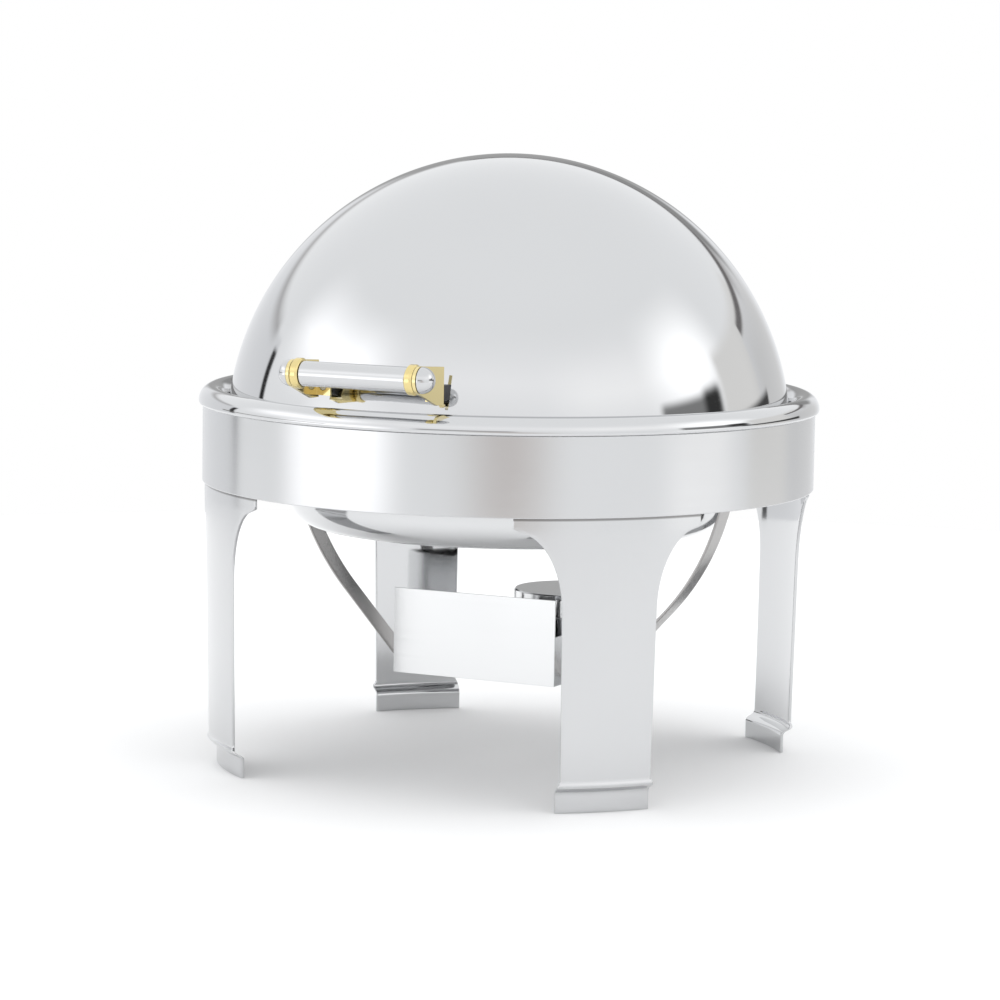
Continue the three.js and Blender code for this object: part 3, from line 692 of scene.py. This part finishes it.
grip_line = [(grip_hollow, -grip_half), (grip_radius, -grip_half)]
grip_line += [(grip_radius, grip_half), (grip_hollow, grip_half)]
grip_mirror = metal("grip_mirror_steel", steel_colour, (0.06, 0.13), (1500, 25, 25), 1e-6, 0, 0.03)
grip = made("grip_tube", spun(eased(grip_line, 0.5), 72, "X", grip_centre))
fitted(grip, grip_mirror, "lid", "polished_steel", "handle_grip")
dressed("tie_rod", "lid", "zinc_hardware", zinc, ["handle_rod"], 0.3)

brass = metal("polished_brass", (0.8, 0.66, 0.31), (0.07, 0.16), (1800, 30, 30), 1.2e-6, 0, 0.07)
collar_line = [(rod_hole, grip_half + 0.3), (collar_face, grip_half + 0.3), (collar_radius, grip_half + 1.4)]
collar_line += [(collar_radius, collar_end - 1.4), (collar_face, collar_end), (rod_hole, collar_end)]
collar = spun(eased(collar_line, 0.7), 72, "X", grip_centre)
collars = made("brass_collars", collar, other_side(collar))
fitted(collars, brass, "lid", "polished_brass", *both("handle_collar"))

cap_line = [(0, cap_in + cap_depth), (rod_hole, cap_in + cap_depth), (rod_hole, cap_in)]
cap_line += [(cap_radius, cap_in)]
cap_line += [
    (cap_radius * math.cos(math.radians(6 * k)), cap_in + cap_radius * math.sin(math.radians(6 * k)))
    for k in range(1, 15)
]
cap_line += [(0, cap_in + cap_radius)]
cap_mirror = metal("cap_mirror_steel", steel_colour, (0.05, 0.12), (1500, 25, 25), 1e-6, 0, 0.04)
cap = spun(eased(cap_line, 0.4, 3, False), 64, "X", grip_centre)
caps = made("cap_nuts", cap, other_side(cap))
fitted(caps, cap_mirror, "lid", "polished_steel", *both("handle_cap_nut"))

brass_plate = metal("brass_plate", (0.84, 0.71, 0.36), (0.08, 0.16), (30, 400, 30), 2e-6, 0, 0.08)
dressed("brass_brackets", "lid", "polished_brass", brass_plate, both("handle_bracket"), 0.45)
black_moulding = bpy.data.materials.new("black_moulding")
moulded(black_moulding, (0.035, 0.035, 0.038), (0.022, 0.022, 0.024), (0.42, 0.6), 2.5e-5, 1400)
dressed("heat_spacers", "lid", "black_spacer", black_moulding, both("handle_spacer"), 0.5)
dressed("handle_screws", "lid", "zinc_hardware", zinc, both("handle_screw"), 0.3)

# ---- Cradle ring ----
# A flat ring cut from satin stainless plate, with its edges eased. It is welded over the pivot
# lugs inside the band, and both pans rest on it.
ring_inside = 174.5
ring_outside = 196
ring_under = 11.5
ring_over = 13.5
ring_line = [(ring_inside, ring_under), (ring_outside, ring_under)]
ring_line += [(ring_outside, ring_over), (ring_inside, ring_over)]
ring_satin = metal("ring_satin_steel", steel_colour, (0.22, 0.34), (300, 300, 300), 4e-6, 1e-4)
ring = made("cradle", spun(eased(ring_line, 0.5), 160))
fitted(ring, ring_satin, "frame", "satin_steel", "cradle_ring")

# ---- Pans ----
# A water pan and a food pan deep-drawn from bright stainless sheet, each with a flat rim, a wall
# that slopes in, and a large radius round a flat floor.


def pan_line(rim_radius, rim_height, wall_top, wall_foot, foot_height, corner, wall):
    """The pan's section from the middle of its underside, round the rim, to the middle inside."""
    centre = wall_foot - corner
    floor = foot_height - corner
    line = [(0, floor), (centre * 0.5, floor)]
    for k in range(13):
        a = math.radians(-90 + 90 * k / 12)
        line.append((centre + corner * math.cos(a), foot_height + corner * math.sin(a)))
    line += [(wall_top, rim_height - 3.2), (wall_top + 0.9, rim_height), (rim_radius, rim_height)]
    line += [(rim_radius, rim_height + wall), (wall_top - 0.3, rim_height + wall)]
    line += [(wall_top - wall, rim_height - 2.6)]
    for k in range(13):
        a = math.radians(-90 * k / 12)
        line.append((centre + (corner - wall) * math.cos(a), foot_height + (corner - wall) * math.sin(a)))
    return line + [(centre * 0.5, floor + wall), (0, floor + wall)]


bright_colour = (0.66, 0.665, 0.672)
pan_steel = metal("pan_bright_steel", bright_colour, (0.07, 0.15), (9, 9, 300), 1.5e-6, 2.5e-4, 0.04)
pan_wall = 1.2
water_line = pan_line(
    rim_radius=195, rim_height=13.8, wall_top=172.5, wall_foot=162, foot_height=-44, corner=22, wall=pan_wall
)
water = made("water_pan_pressing", spun(eased(water_line, 1.0, 4, False), 192))
fitted(water, pan_steel, "frame", "bright_steel", "water_pan")
food_line = pan_line(
    rim_radius=189, rim_height=15.3, wall_top=165, wall_foot=156, foot_height=-34, corner=18, wall=pan_wall
)
food = made("food_pan_pressing", spun(eased(food_line, 1.0, 4, False), 192))
fitted(food, pan_steel, "food_pan", "bright_steel", "food_pan")

# ---- Hoop strap ----
# A flat bar bent into a hoop: welded under the cradle ring at both sides, round outside the water
# pan, then straight down and across under the fuel holder.
hoop_radius = 179
hoop_half_width = 9.5
hoop_wall = 2
hoop_top = 11.2
hoop_bend = math.radians(-42.8)
hoop_floor = -176
hoop_start = math.asin(hoop_top / hoop_radius)
hoop_line = []
for k in range(41):
    a = hoop_start + (hoop_bend - hoop_start) * k / 40
    hoop_line.append(Vector((hoop_radius * math.cos(a), hoop_radius * math.sin(a))))
slope = Vector((-math.cos(hoop_bend + math.pi / 2), -math.sin(hoop_bend + math.pi / 2)))
hoop_run = (hoop_line[-1].y - hoop_floor) / -slope.y
hoop_line.append(hoop_line[-1] + slope * hoop_run)
hoop_corner = 22
hoop_half = eased(hoop_line + [Vector((0, hoop_floor))], hoop_corner, 8, False)
hoop_path = hoop_half[:-1] + [Vector((0, hoop_floor))]
hoop_path += [Vector((-point.x, point.y)) for point in reversed(hoop_half[:-1])]
hoop_outline = [(-hoop_half_width, -hoop_wall / 2), (hoop_half_width, -hoop_wall / 2)]
hoop_outline += [(hoop_half_width, hoop_wall / 2), (-hoop_half_width, hoop_wall / 2)]
hoop_loops = []
for k, point in enumerate(hoop_path):
    before = hoop_path[max(k - 1, 0)]
    after = hoop_path[min(k + 1, len(hoop_path) - 1)]
    ahead = (after - before).normalized()
    hoop_loops.append([
        (point.x - ahead.y * depth, across, point.y + ahead.x * depth)
        for across, depth in eased(hoop_outline, 0.6, 3)
    ])
strap_satin = metal("strap_satin_steel", (0.38, 0.37, 0.365), (0.16, 0.24), (30, 700, 30), 5e-6, 1e-4)
hoop = made("hoop_bar", lofted(hoop_loops))
fitted(hoop, strap_satin, "frame", "satin_steel", "hoop_strap")

# ---- Fuel holder ----
# A tray folded from bright sheet with a tall front panel, bolted through the hoop, with a pressed
# fuel cup standing in it.
folded_steel = metal("folded_bright_steel", (0.8, 0.805, 0.81), (0.12, 0.2), (8, 8, 400), 2e-6, 2e-4, 0.04)
dressed("fuel_holder", "frame", "bright_steel", folded_steel, ["fuel_tray"], 0.5)
cup_radius = 43
cup_hollow = 41.8
cup_lip = 45
cup_under = -173.2
cup_floor = -172
cup_lip_under = -130.2
cup_top = -129
cup_line = [(0, cup_under), (cup_radius - 1.5, cup_under), (cup_radius, cup_under + 1.5)]
cup_line += [(cup_radius, cup_lip_under), (cup_lip, cup_lip_under), (cup_lip, cup_top)]
cup_line += [(cup_hollow, cup_top), (cup_hollow, cup_floor + 0.8), (cup_hollow - 0.8, cup_floor)]
cup_line += [(0, cup_floor)]
cup = made("fuel_cup_pressing", spun(eased(cup_line, 0.5, 4, False), 96))
fitted(cup, pan_steel, "frame", "bright_steel", "fuel_cup")
dressed("tray_bolts", "frame", "zinc_hardware", zinc, both("tray_bolt"), 0.4)
dressed("tray_nuts", "frame", "zinc_hardware", zinc, both("tray_nut"), 0.3)

# ---- Snuffer ----
# A shallow cap pressed from bright sheet, on an arm that swings round a zinc-plated post in the
# tray, over the cup to put the flame out.
dressed("snuffer_stand", "frame", "zinc_hardware", zinc, ["snuffer_post"], 0.3)
dressed("snuffer_cap", "snuffer", "bright_steel", folded_steel, ["snuffer_lid"], 0.35)
